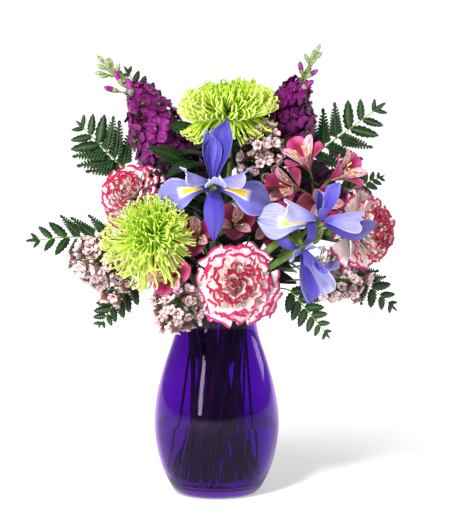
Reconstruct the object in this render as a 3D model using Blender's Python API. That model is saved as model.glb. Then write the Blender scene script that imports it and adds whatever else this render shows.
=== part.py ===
"""A mixed flower bouquet standing in a pear-shaped glass vase with water.

Metres, +Z up. The origin is the centre of the vase's foot, and the front of the bouquet faces -Y.
Every stem stands in the water, crosses the neck of the vase as one line of a spiral, and then
curves out to its flower.
"""

import math

import bmesh
import bpy
from mathutils import Matrix, Vector

MM = 0.001
GAP = 0.4

# Vase: radius and height of the outer wall, from the foot to the lip.
VASE_OUTER = [
    (39, 0), (44.5, 3), (52, 17), (58, 33), (62.5, 55), (63.5, 74), (61.5, 95),
    (56.5, 117), (49.5, 139), (42.5, 158), (39.5, 174), (42, 187), (48.5, 197), (54, 203),
]
VASE_WALL = 3.0
VASE_FLOOR = 8.0
VASE_SIDES = 36
WATER_GAP = 0.6
WATER_LEVEL = 72.0

# Spiral of stems: radius of each ring in the neck, and where the stems of that ring end.
NECK_HEIGHT = 176.0
RING_RADIUS = (6.0, 14.5, 22.5, 30.0)
RING_FOOT = (12.0, 13.0, 17.0, 22.0)
SPIRAL_TWIST = 0.007
STEM_PARTS = 9
STEM_PULL = 0.38

IRIS_STEM, CARNATION_STEM, MUM_STEM, STOCK_STEM = 3.6, 2.4, 2.8, 3.2
LILY_STEM, WAX_STEM, FERN_STEM = 2.4, 1.3, 1.2

PETAL_THICKNESS = 1.0
FROND_THICKNESS = 0.9
FROND_ARCH = 6.0


def clear_scene():
    for obj in list(bpy.data.objects):
        bpy.data.objects.remove(obj)


def material(name, colour, roughness, metallic=0.0):
    made = bpy.data.materials.new(name)
    made.use_nodes = True
    shader = made.node_tree.nodes["Principled BSDF"]
    shader.inputs["Base Color"].default_value = (*colour, 1.0)
    shader.inputs["Roughness"].default_value = roughness
    shader.inputs["Metallic"].default_value = metallic
    return made


def mm(point):
    """A point given in millimetres, in metres."""
    return Vector(point) * MM


def turned_to(facing):
    """The rotation that turns +Z to facing and keeps +Y as near to straight up as it can."""
    front = Vector(facing).normalized()
    right = Vector((0, 0.001, 1)).cross(front).normalized()
    return Matrix((right, front.cross(right), front)).transposed().to_4x4()


def add_mesh(name, bm, finish, place=(0, 0, 0), facing=(0, 0, 1), roll=0.0):
    """Makes a node of a bmesh. Its local +Z is turned to facing, after a roll about it in degrees."""
    mesh = bpy.data.meshes.new(name)
    bmesh.ops.recalc_face_normals(bm, faces=bm.faces)
    bm.to_mesh(mesh)
    bm.free()
    mesh.materials.append(finish)
    mesh.shade_smooth()
    mesh.set_sharp_from_angle(angle=math.radians(40))
    obj = bpy.data.objects.new(name, mesh)
    bpy.context.scene.collection.objects.link(obj)
    spin = Matrix.Rotation(math.radians(roll), 4, "Z")
    obj.matrix_world = Matrix.Translation(mm(place)) @ turned_to(facing) @ spin
    return obj


def solidify(obj, thickness):
    shell = obj.modifiers.new("thickness", "SOLIDIFY")
    shell.thickness = thickness * MM
    shell.offset = 0.0


def spun(profile, sides):
    """A turned body from a list of (radius, height) in millimetres that starts and ends on the axis."""
    bm = bmesh.new()
    verts = [bm.verts.new((r * MM, 0, z * MM)) for r, z in profile]
    edges = [bm.edges.new(pair) for pair in zip(verts, verts[1:])]
    bmesh.ops.spin(bm, geom=verts + edges, cent=(0, 0, 0), axis=(0, 0, 1),
                   angle=math.tau, steps=sides, use_duplicate=False)
    bmesh.ops.remove_doubles(bm, verts=bm.verts, dist=0.02 * MM)
    return bm


def scallop(bm, lobes, depth):
    """Pushes a turned body's rim in and out by a share of its radius."""
    for vert in bm.verts:
        wave = math.cos(lobes * math.atan2(vert.co.y, vert.co.x))
        vert.co.x *= 1 + depth * wave
        vert.co.y *= 1 + depth * wave


# ---- the vase and the water -------------------------------------------------------------------

def vase_inside():
    """The inside of the glass from the floor's edge up to the lip, as (radius, height)."""
    wall = [(r - VASE_WALL, z) for r, z in VASE_OUTER if z > VASE_FLOOR]
    return [(wall[0][0] - 5, VASE_FLOOR)] + wall


def make_vase(glass):
    rim_radius, rim_height = VASE_OUTER[-1]
    lip = [(rim_radius, rim_height - 0.8), (rim_radius - 0.5 * VASE_WALL, rim_height + 1.2)]
    profile = [(0, 0)] + VASE_OUTER[:-1] + lip + vase_inside()[::-1] + [(0, VASE_FLOOR)]
    return add_mesh("vase", spun(profile, VASE_SIDES), glass)


def make_water(finish, channels):
    """The water fills the vase to its level, and each stem stands in its own channel."""
    inside = vase_inside()
    below = [(r - WATER_GAP, z) for r, z in inside if z < WATER_LEVEL]
    below[0] = (below[0][0], VASE_FLOOR + GAP)
    low = below[-1]
    high = next((r - WATER_GAP, z) for r, z in inside if z >= WATER_LEVEL)
    share = (WATER_LEVEL - low[1]) / (high[1] - low[1])
    top = (low[0] + (high[0] - low[0]) * share, WATER_LEVEL)
    profile = [(0, VASE_FLOOR + GAP)] + below + [top, (0, WATER_LEVEL)]
    water = add_mesh("water", spun(profile, VASE_SIDES), finish)
    cut = water.modifiers.new("stem channels", "BOOLEAN")
    cut.operation = "DIFFERENCE"
    cut.object = channels
    cut.use_self = True
    return water


# ---- stems --------------------------------------------------------------------------------------

def bezier(start, start_pull, end_pull, end, parts):
    for step in range(parts + 1):
        t = step / parts
        yield (start * (1 - t) ** 3 + start_pull * 3 * t * (1 - t) ** 2
               + end_pull * 3 * t ** 2 * (1 - t) + end * t ** 3)


def stem_route(place, facing, ring, angle):
    """Points in millimetres from the foot in the water to the flower at place.

    The slope of a stem grows with its ring's radius, so below the neck the whole bundle turns and
    widens together and no stem meets another.
    """
    turn = math.radians(angle)
    outward = Vector((math.cos(turn), math.sin(turn), 0))
    sideways = Vector((-math.sin(turn), math.cos(turn), 0))
    waist = outward * RING_RADIUS[ring] + Vector((0, 0, NECK_HEIGHT))
    rise = sideways * SPIRAL_TWIST * RING_RADIUS[ring] + Vector((0, 0, 1))
    foot = waist - rise * (NECK_HEIGHT - RING_FOOT[ring])
    end = Vector(place)
    pull = STEM_PULL * (end - waist).length
    curve = bezier(waist, waist + rise.normalized() * pull,
                   end - Vector(facing).normalized() * pull, end, STEM_PARTS)
    return [foot] + list(curve)


def add_tube(bm, route, radius, sides, tip_share):
    """A closed round bar along a route, its rings carried along without twist."""
    centres = [Vector(p) for p in route]
    ways = [(b - a).normalized() for a, b in zip(centres, centres[1:])]
    ways = [ways[0]] + [(a + b).normalized() for a, b in zip(ways, ways[1:])] + [ways[-1]]
    side = ways[0].orthogonal().normalized()
    rings = []
    for i, (centre, way) in enumerate(zip(centres, ways)):
        side = (side - way * side.dot(way)).normalized()
        other = way.cross(side)
        reach = radius * (1 + (tip_share - 1) * i / (len(centres) - 1))
        turns = [math.tau * k / sides for k in range(sides)]
        rings.append([bm.verts.new(mm(centre + (side * math.cos(t) + other * math.sin(t)) * reach))
                      for t in turns])
    for low, high in zip(rings, rings[1:]):
        for k in range(sides):
            bm.faces.new((low[k - 1], low[k], high[k], high[k - 1]))
    bm.faces.new(rings[0][::-1])
    bm.faces.new(rings[-1])


def tube(name, route, radius, finish, sides=6, tip_share=1.0):
    bm = bmesh.new()
    add_tube(bm, route, radius, sides, tip_share)
    return add_mesh(name, bm, finish)


def hide(obj):
    obj.hide_render = True
    obj.display_type = "WIRE"


def united(trunk, branches):
    """Grows the branches and the trunk together as one body."""
    grown = bpy.data.collections.new(trunk.name + "_branches")
    bpy.context.scene.collection.children.link(grown)
    for branch in branches:
        for holder in list(branch.users_collection):
            holder.objects.unlink(branch)
        grown.objects.link(branch)
        hide(branch)
    join = trunk.modifiers.new("branches", "BOOLEAN")
    join.operation = "UNION"
    join.operand_type = "COLLECTION"
    join.collection = grown
    return trunk


# ---- sheets: petals, leaves and fronds ------------------------------------------------------------

def grow_edge(bm, edge, across, ends):
    """Extrudes one edge of a sheet to two new points and returns the new edge."""
    grown = bmesh.ops.extrude_edge_only(bm, edges=[edge])["geom"]
    new = sorted((g for g in grown if isinstance(g, bmesh.types.BMVert)), key=lambda v: v.co.dot(across))
    for vert, point in zip(new, ends):
        vert.co = mm(point)
    return bm.edges.get(new)


def petal_whorl(name, finish, petals, place, facing, roll=0.0):
    """Petals round a small hub. Each is (azimuth, stations), a station being (out, up, half width)."""
    bm = bmesh.new()
    corners, bases = [], []
    for azimuth, stations in sorted(petals):
        out, _, half = stations[0]
        spread = math.atan2(half, out)
        reach = math.hypot(half, out)
        pair = [bm.verts.new(mm((reach * math.cos(turn), reach * math.sin(turn), 0)))
                for turn in (math.radians(azimuth) - spread, math.radians(azimuth) + spread)]
        corners += pair
        bases.append((azimuth, stations, pair))
    bm.faces.new(corners)
    for azimuth, stations, pair in bases:
        edge = bm.edges.get(pair)
        turn = math.radians(azimuth)
        outward = Vector((math.cos(turn), math.sin(turn), 0))
        sideways = Vector((-math.sin(turn), math.cos(turn), 0))
        for out, up, half in stations[1:]:
            middle = outward * out + Vector((0, 0, up))
            edge = grow_edge(bm, edge, sideways, (middle - sideways * half, middle + sideways * half))
    obj = add_mesh(name, bm, finish, place, facing, roll)
    solidify(obj, PETAL_THICKNESS)
    return obj


def strip(bm, centres, sides, halves):
    """A ribbon of quads along the centres. Returns its left and right edges, one pair to a stretch."""
    rows = [(bm.verts.new(mm(centre - side * half)), bm.verts.new(mm(centre + side * half)))
            for centre, side, half in zip(centres, sides, halves)]
    for (a, b), (c, d) in zip(rows, rows[1:]):
        bm.faces.new((a, b, d, c))
    return rows


def frond(name, finish, spec):
    """A fern frond with its own stalk. The leaflets stand in pairs and shorten towards the tip."""
    base, tip, normal = Vector(spec["base"]), Vector(spec["tip"]), Vector(spec["normal"])
    start = (tip - base).normalized() + Vector((0, 0, 0.4))
    route = stem_route(base, start, spec["ring"], spec["angle"])
    pairs = spec.get("pairs", 6)
    stretches = 2 * pairs
    for step in range(1, stretches + 1):
        share = step / stretches
        route.append(base.lerp(tip, share) + normal.normalized() * FROND_ARCH * math.sin(math.pi * share))
    ways = [(b - a).normalized() for a, b in zip(route, route[1:])]
    ways.append(ways[-1])
    sides = [w.cross(normal).normalized() for w in ways]
    stalk = len(route) - stretches - 1
    halves = [FERN_STEM] * (stalk + 1)
    halves += [FERN_STEM * (1 - 0.7 * step / stretches) for step in range(1, stretches + 1)]
    bm = bmesh.new()
    rows = strip(bm, route, sides, halves)
    for pair in range(pairs):
        low = stalk + 2 * pair
        share = pair / pairs
        reach = spec["width"] * (1 - share) ** 0.8 * (0.75 + 0.9 * share * (1 - share))
        for column, sign in ((0, -1), (1, 1)):
            edge = bm.edges.get((rows[low][column], rows[low + 1][column]))
            out = sides[low] * sign * reach + ways[low] * reach * 0.75
            middle = (route[low] + route[low + 1]) / 2 + out
            end = ways[low] * (route[low + 1] - route[low]).length * 0.2
            grow_edge(bm, edge, ways[low], (middle - end, middle + end))
    solidify(add_mesh(name, bm, finish), FROND_THICKNESS)
    return route, FERN_STEM + GAP


# ---- flowers ----------------------------------------------------------------------------------------

# Iris petals as (out, up, half width) from the flower's centre, along its own axis.
IRIS_FALL = [(4.6, 0, 2.2), (15, 9, 5), (27, 15, 8), (38, 14, 15), (49, 6, 16), (58, -5, 9), (62, -12, 2)]
IRIS_STANDARD = [(4.2, 0, 1.35), (8, 14, 3), (14, 30, 9), (18, 46, 10), (20, 60, 5), (20, 66, 1)]
IRIS_STYLE = [(2.8, 0, 1.4), (13, 9, 3.6), (21, 16, 6.5), (28, 21, 6.5), (33, 28, 3)]
IRIS_LIFT = 3.4

# Falls and standards are given as (azimuth, size); each fall has a style arm above it.
IRISES = {
    "iris_left": dict(place=(-3, -64, 314), facing=(0.05, -0.56, 0.83), ring=2, angle=250,
                      falls=[(180, 0.92), (268, 0.85), (348, 0.95)],
                      standards=[(90, 1.0), (129, 0.8), (42, 0.95)]),
    "iris_right": dict(place=(100, -80, 281), facing=(0.1, -0.72, 0.68), ring=2, angle=300,
                       falls=[(176, 1.0), (345, 0.95), (80, 0.5)],
                       standards=[(32, 0.75), (128, 0.55), (260, 0.48)]),
    "iris_low": dict(place=(83, -84, 258), facing=(0.26, -0.8, -0.54), ring=3, angle=288,
                     falls=[(316, 0.9), (70, 0.5), (165, 0.5)],
                     standards=[(238, 0.9), (15, 0.55), (118, 0.55)]),
}

# Carnation bloom and calyx, turned profiles from the base of the petals.
CARNATION_BLOOM = [(0, 0), (7, 0), (20, 6), (34, 15), (42, 26), (38, 37), (24, 44), (0, 46)]
CALYX_DEPTH = 24.0
CARNATION_CALYX = [(0, -27), (3.2, -27), (6.5, -18), (7.5, -8), (8.2, -GAP), (0, -GAP)]
CARNATIONS = {
    "carnation_left": dict(place=(-78, 0, 295), facing=(-0.5, -0.68, 0.5), ring=1, angle=150, size=0.84),
    "carnation_center": dict(place=(20, -66, 217), facing=(0.05, -0.94, 0.22), ring=3, angle=268, size=1.0),
    "carnation_right": dict(place=(131, -8, 265), facing=(0.84, -0.52, 0.1), ring=2, angle=345, size=1.0),
    "carnation_back": dict(place=(-30, 70, 276), facing=(-0.25, 0.86, 0.4), ring=1, angle=70, size=0.88),
}

# Spider chrysanthemum head, from the top of the stalk.
MUM_HEAD = [(0, -7), (7, -7), (22, -6), (40, -3), (49, 8), (46, 22), (34, 32), (16, 37), (0, 38)]
MUMS = {
    "mum_top": dict(place=(12, -12, 385), facing=(-0.08, -0.12, 1), ring=0, angle=240, size=1.0),
    "mum_left": dict(place=(-61, -86, 271), facing=(-0.35, -0.72, 0.6), ring=1, angle=190, size=0.72),
}

# Stock: the spike of flowers goes round the first four points of the route, the buds beyond the last.
STOCK_BUDS = [(0, GAP), (5, GAP), (11, 8), (10, 18), (5, 28), (0, 32)]
STOCK_STRETCHES = 3
STOCK_TIERS = 8
STOCK_SIDES = 10
STOCKS = {
    "stock_left": dict(route=[(-44, 34, 312), (-54, 34, 345), (-63, 32, 374), (-78, 30, 400), (-103, 28, 424)],
                       ring=0, angle=120, radius=27),
    "stock_right": dict(route=[(66, 38, 322), (70, 38, 352), (74, 36, 382), (82, 34, 406), (94, 32, 428)],
                        ring=0, angle=0, radius=23),
}

# Alstroemeria: each stalk ends in an umbel of flowers, each given by its throat and the way it faces.
LILY_PETAL = [(4, 0, 1.8), (8, 11, 3.7), (14, 21, 6.6), (20, 28, 6.6), (23, 32, 2)]
LILIES = {
    "alstroemeria_right": dict(umbel=(96, -4, 288), ring=1, angle=310, size=0.95, flowers=[
        ((92, -18, 326), (-0.3, -0.6, 0.75)), ((112, -12, 316), (0.75, -0.5, 0.5)),
        ((82, -22, 308), (-0.6, -0.75, 0.15)), ((99, -26, 297), (0.15, -0.95, 0.0))]),
    "alstroemeria_center": dict(umbel=(14, -14, 256), ring=1, angle=262, size=0.88, flowers=[
        ((17, -30, 272), (0.1, -0.85, 0.3)), ((-16, -38, 262), (-0.2, -0.9, 0.2)),
        ((49, -12, 272), (0.1, -0.95, 0.1))]),
    "alstroemeria_low": dict(umbel=(-32, -52, 224), ring=2, angle=190, size=1.0, flowers=[
        ((-38, -64, 230), (-0.3, -0.95, 0.1))]),
}

# Wax flower: sprays of short twigs that each end in a small cup.
WAXES = {
    "wax_left": dict(fork=(-78, -34, 234), ring=3, angle=164, spread=(-0.75, -0.5, 0.1), reach=44, cups=10),
    "wax_bottom": dict(fork=(-26, -62, 210), ring=3, angle=222, spread=(-0.4, -0.7, -0.45), reach=36, cups=9),
    "wax_top": dict(fork=(46, -8, 322), ring=1, angle=340, spread=(0.02, -0.4, 0.9), reach=38, cups=9),
    "wax_right": dict(fork=(88, -6, 216), ring=3, angle=310, spread=(0.92, -0.36, 0.05), reach=46, cups=10,
                      lift=0.0),
    "wax_back": dict(fork=(50, 66, 252), ring=3, angle=20, spread=(0.4, 0.8, 0.35), reach=46, cups=10),
}

FERNS = {
    "fern_left_top": dict(base=(-60, 68, 370), tip=(-94, 62, 426), width=22, normal=(0, -1, 0),
                          ring=2, angle=118),
    "fern_left": dict(base=(-94, 52, 322), tip=(-142, 40, 372), width=40, normal=(0, -1, 0.1),
                      ring=2, angle=134, pairs=7),
    "fern_left_low": dict(base=(-104, 8, 256), tip=(-190, -8, 254), width=34, normal=(-0.1, -0.8, 0.6),
                          ring=3, angle=128, pairs=7),
    "fern_lower_left": dict(base=(-84, -20, 212), tip=(-116, -40, 172), width=22, normal=(-0.4, -0.85, 0.1),
                            ring=3, angle=146),
    "fern_right_top": dict(base=(96, 52, 334), tip=(171, 44, 390), width=40, normal=(0, -1, 0.1),
                           ring=2, angle=5, pairs=8),
    "fern_right": dict(base=(128, 42, 298), tip=(170, 40, 316), width=16, normal=(0, -1, 0.2),
                       ring=3, angle=352),
    "fern_right_low": dict(base=(128, 18, 226), tip=(180, -8, 184), width=26, normal=(0.2, -0.9, 0.4),
                           ring=3, angle=338),
    "fern_lower_right": dict(base=(74, -18, 206), tip=(112, -44, 162), width=20, normal=(0.1, -0.95, 0.1),
                             ring=3, angle=324),
    "fern_back": dict(base=(14, 78, 322), tip=(22, 122, 376), width=36, normal=(0, 0.7, -0.7),
                      ring=2, angle=45, pairs=7),
    "fern_back_low": dict(base=(-56, 62, 226), tip=(-104, 110, 190), width=32, normal=(-0.3, 0.4, 0.85),
                          ring=2, angle=85),
}


def scaled(profile, size):
    return [(r * size, z * size) for r, z in profile]


def sized(stations, size):
    """A petal made larger or smaller while its base keeps its place on the hub."""
    return stations[:1] + [(out * size, up * size, half * size) for out, up, half in stations[1:]]


def make_iris(name, spec, stalk, violet, blue):
    """Three drooping falls, three upright standards and three style arms, whorl above whorl."""
    axis = Vector(spec["facing"]).normalized()
    place = Vector(spec["place"])

    def whorl(part, finish, petals, shape, lift):
        grown = [(azimuth, sized(shape, size)) for azimuth, size in petals]
        petal_whorl(f"{name}_{part}", finish, grown, place + axis * lift, spec["facing"])

    whorl("falls", blue, spec["falls"], IRIS_FALL, 0.0)
    whorl("standards", violet, spec["standards"], IRIS_STANDARD, IRIS_LIFT)
    whorl("styles", violet, spec["falls"], IRIS_STYLE, 2 * IRIS_LIFT)
    route = stem_route(place - axis * 3 * GAP, spec["facing"], spec["ring"], spec["angle"])
    tube(f"{name}_stem", route, IRIS_STEM, stalk)
    return route, IRIS_STEM


def make_carnation(name, spec, stalk, petal):
    size = spec["size"]
    axis = Vector(spec["facing"]).normalized()
    bloom = spun(scaled(CARNATION_BLOOM, size), 20)
    scallop(bloom, 10, 0.04)
    add_mesh(f"{name}_bloom", bloom, petal, spec["place"], spec["facing"])
    calyx = add_mesh(f"{name}_calyx", spun(CARNATION_CALYX, 10), stalk, spec["place"], spec["facing"])
    route = stem_route(Vector(spec["place"]) - axis * CALYX_DEPTH, spec["facing"], spec["ring"], spec["angle"])
    united(tube(f"{name}_stem", route, CARNATION_STEM, stalk), [calyx])
    return route, CARNATION_STEM


def make_mum(name, spec, stalk, petal):
    axis = Vector(spec["facing"]).normalized()
    head = spun(scaled(MUM_HEAD, spec["size"]), 26)
    scallop(head, 13, 0.06)
    add_mesh(f"{name}_head", head, petal, spec["place"], spec["facing"])
    route = stem_route(Vector(spec["place"]) - axis * (7 * spec["size"] + GAP), spec["facing"],
                       spec["ring"], spec["angle"])
    tube(f"{name}_stem", route, MUM_STEM, stalk)
    return route, MUM_STEM


def stock_ring(bm, centre, way, radius):
    """A lobed ring of vertices round a point of the stalk."""
    side = way.cross(Vector((0, 1, 0))).normalized()
    front = side.cross(way)
    ring = []
    for k in range(STOCK_SIDES):
        turn = math.tau * k / STOCK_SIDES
        bulge = radius * (1 + 0.08 * math.cos(5 * turn))
        ring.append(bm.verts.new(mm(centre + (side * math.cos(turn) + front * math.sin(turn)) * bulge)))
    return ring


def make_stock(name, spec, stalk, petal):
    """A spike of flowers round a bare stalk, which runs on to a tip of closed buds."""
    points = [Vector(p) for p in spec["route"]]
    route = stem_route(points[0], points[1] - points[0], spec["ring"], spec["angle"]) + points[1:]
    tube(f"{name}_stem", route, STOCK_STEM, stalk, tip_share=0.7)
    bm = bmesh.new()
    outer, inner = [], []
    for tier in range(STOCK_TIERS + 1):
        share = tier / STOCK_TIERS
        along = share * STOCK_STRETCHES
        stretch = min(int(along), STOCK_STRETCHES - 1)
        centre = points[stretch].lerp(points[stretch + 1], along - stretch)
        way = (points[stretch + 1] - points[stretch]).normalized()
        swell = math.sin(math.pi * (0.12 + 0.76 * share)) ** 0.6 * (0.94 if tier % 2 else 1.06)
        outer.append(stock_ring(bm, centre, way, spec["radius"] * swell))
        inner.append(stock_ring(bm, centre, way, STOCK_STEM + 1.5))
    skin = outer + inner[::-1]
    for low, high in zip(skin, skin[1:] + skin[:1]):
        for k in range(STOCK_SIDES):
            bm.faces.new((low[k - 1], low[k], high[k], high[k - 1]))
    add_mesh(f"{name}_flowers", bm, petal)
    buds = spun(STOCK_BUDS, 10)
    scallop(buds, 5, 0.15)
    add_mesh(f"{name}_bud_tip", buds, stalk, points[-1], points[-1] - points[-2])
    return route, STOCK_STEM


def make_lily(name, spec, stalk, petal):
    umbel = Vector(spec["umbel"])
    mean = sum((Vector(f) for _, f in spec["flowers"]), Vector()).normalized()
    route = stem_route(umbel, mean * 0.4 + Vector((0, 0, 1)), spec["ring"], spec["angle"])
    trunk = tube(f"{name}_stem", route, LILY_STEM, stalk)
    pedicels = []
    for number, (throat, facing) in enumerate(spec["flowers"], 1):
        axis = Vector(facing).normalized()
        end = Vector(throat) - axis * 3 * GAP
        start = umbel - Vector((0, 0, 2.5))
        pull = 0.35 * (end - start).length
        bend = list(bezier(start, start + Vector((0, 0, pull * 0.5)), end - axis * pull, end, 4))
        pedicels.append(tube(f"{name}_pedicel_{number}", bend, 1.4, stalk, sides=5))
        petals = [(azimuth, sized(LILY_PETAL, spec["size"])) for azimuth in range(0, 360, 60)]
        petal_whorl(f"{name}_flower_{number}", petal, petals, throat, facing, roll=15.0 * number)
    united(trunk, pedicels)
    return route, LILY_STEM


def make_wax(name, spec, finish):
    """A woody stalk that forks into short twigs, each with a small cup at its end."""
    fork = Vector(spec["fork"])
    spread = Vector(spec["spread"]).normalized()
    route = stem_route(fork, spread + Vector((0, 0, spec.get("lift", 0.6))), spec["ring"], spec["angle"])
    route.append(fork + spread * spec["reach"] * 0.6)
    trunk = tube(f"{name}_spray", route, WAX_STEM, finish)
    side = spread.cross(Vector((0, 0, 1))).normalized()
    over = side.cross(spread)
    branches = []
    golden = math.pi * (3 - math.sqrt(5))
    for cup in range(spec["cups"]):
        share = (cup + 0.5) / spec["cups"]
        turn = cup * golden
        lean = side * math.cos(turn) + over * math.sin(turn)
        start = fork + spread * spec["reach"] * 0.5 * share
        wide = spec["reach"] * (0.62 - 0.42 * share)
        end = start + spread * spec["reach"] * (0.28 + 0.25 * share) + lean * wide
        branches.append(tube(f"{name}_twig_{cup}", [start, end], 0.8, finish, sides=4))
        bm = bmesh.new()
        bmesh.ops.create_icosphere(bm, subdivisions=1, radius=4.6 * MM)
        branches.append(add_mesh(f"{name}_cup_{cup}", bm, finish, end, lean))
    united(trunk, branches)
    return route[:-1], WAX_STEM


def channel_cutter(stems, finish):
    """One cutter for the channels that the stems make in the water."""
    bm = bmesh.new()
    for route, radius in stems:
        below = route[0] - (route[1] - route[0]).normalized() * GAP
        above = route[0].lerp(route[1], 0.6)
        add_tube(bm, [below, above], radius + GAP, 6, 1.0)
    cutter = add_mesh("stem_channels", bm, finish)
    hide(cutter)
    return cutter


def main():
    clear_scene()
    glass = material("violet_glass", (0.10, 0.02, 0.38), 0.05)
    clear = material("water", (0.6, 0.55, 0.85), 0.05)
    stalk = material("stalk_green", (0.16, 0.3, 0.08), 0.55)
    violet = material("iris_violet", (0.16, 0.12, 0.55), 0.5)
    blue = material("iris_blue", (0.32, 0.34, 0.78), 0.5)
    picotee = material("carnation_picotee", (0.85, 0.3, 0.42), 0.6)
    lime = material("mum_lime", (0.5, 0.72, 0.1), 0.5)
    magenta = material("stock_magenta", (0.28, 0.01, 0.24), 0.6)
    rose = material("lily_rose", (0.7, 0.12, 0.32), 0.5)
    blush = material("wax_blush", (0.75, 0.55, 0.55), 0.6)
    fern = material("fern_green", (0.03, 0.12, 0.03), 0.5)
    make_vase(glass)
    stems = []
    for name, spec in IRISES.items():
        stems.append(make_iris(name, spec, stalk, violet, blue))
    for name, spec in CARNATIONS.items():
        stems.append(make_carnation(name, spec, stalk, picotee))
    for name, spec in MUMS.items():
        stems.append(make_mum(name, spec, stalk, lime))
    for name, spec in STOCKS.items():
        stems.append(make_stock(name, spec, stalk, magenta))
    for name, spec in LILIES.items():
        stems.append(make_lily(name, spec, stalk, rose))
    for name, spec in WAXES.items():
        stems.append(make_wax(name, spec, blush))
    for name, spec in FERNS.items():
        stems.append(frond(name, fern, spec))
    make_water(clear, channel_cutter(stems, clear))


main()
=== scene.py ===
import bpy
import bmesh
import math
import random
from mathutils import Matrix, Vector


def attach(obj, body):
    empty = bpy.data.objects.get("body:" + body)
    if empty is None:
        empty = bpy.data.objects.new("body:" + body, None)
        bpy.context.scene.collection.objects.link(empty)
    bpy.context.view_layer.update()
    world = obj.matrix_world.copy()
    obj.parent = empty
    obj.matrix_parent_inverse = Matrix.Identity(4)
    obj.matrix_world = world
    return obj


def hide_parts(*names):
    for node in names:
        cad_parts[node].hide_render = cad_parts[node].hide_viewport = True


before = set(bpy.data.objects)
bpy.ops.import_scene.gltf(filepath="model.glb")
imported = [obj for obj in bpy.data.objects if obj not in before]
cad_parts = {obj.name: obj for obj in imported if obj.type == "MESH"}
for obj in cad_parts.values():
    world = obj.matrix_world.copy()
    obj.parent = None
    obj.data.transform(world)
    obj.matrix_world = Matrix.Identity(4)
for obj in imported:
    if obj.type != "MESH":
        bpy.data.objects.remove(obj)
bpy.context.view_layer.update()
mm = 0.001  # sizes below are in millimetres, and those of the lights and the camera in metres
goldenTurn = 137.508  # degrees from one leaf, quill or floret to the next, so that they spread evenly


# small tools that the flowers below share

def clearPicks():
    if bpy.context.object and bpy.context.object.mode == "EDIT":
        bpy.ops.object.mode_set(mode="OBJECT")
    bpy.ops.object.select_all(action="DESELECT")


def pickOnly(*things):
    clearPicks()
    for thing in things:
        thing.select_set(True)
    bpy.context.view_layer.objects.active = things[0]


def pickCorners(piece, chosen):
    shape = bmesh.from_edit_mesh(piece.data)
    for corner in shape.verts:
        corner.select_set(chosen(corner))
    shape.select_flush_mode()


def applyModifier(piece, kind, **settings):
    pickOnly(piece)
    added = piece.modifiers.new(kind.lower(), kind)
    for key, value in settings.items():
        setattr(added, key, value)
    bpy.ops.object.modifier_apply(modifier=added.name)


def turnedTo(facing):  # turns +Z to facing and keeps +Y as near straight up as it goes
    front = Vector(facing).normalized()
    right = Vector((0, 0.001, 1)).cross(front).normalized()
    return Matrix((right, front.cross(right), front)).transposed().to_4x4()


def standAt(place, facing):
    return Matrix.Translation(Vector(place) * mm) @ turnedTo(facing)


def spin(degrees, axis="Z"):
    return Matrix.Rotation(math.radians(degrees), 4, axis)


def sized(across, along=None, up=None):
    return Matrix.Diagonal((across, along or across, up or across, 1))


def lay(pattern, matrix, tone=0.5):  # a copy with its own mesh, set in place, with its own tone: a random depth of colour in some finishes, painted shade in others
    copy = pattern.copy()
    copy.data = pattern.data.copy()
    copy.data.transform(matrix)
    toned = copy.data.attributes.new("tone", "FLOAT", "POINT")
    toned.data.foreach_set("value", [tone] * len(copy.data.vertices))
    bpy.context.scene.collection.objects.link(copy)
    return copy


def joinAs(name, parts):
    pickOnly(*parts)
    if len(parts) > 1:
        bpy.ops.object.join()
    piece = bpy.context.view_layer.objects.active
    piece.name = name
    return piece


def settle(piece, slotName, *nodes):
    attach(piece, "root")
    if nodes:
        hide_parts(*nodes)


def settleStem(name, parts):
    settle(joinAs(name + ".stem", parts), "stalk_green", name + "_stem")


patterns = []  # the shapes that are copied, taken away again at the end


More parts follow.
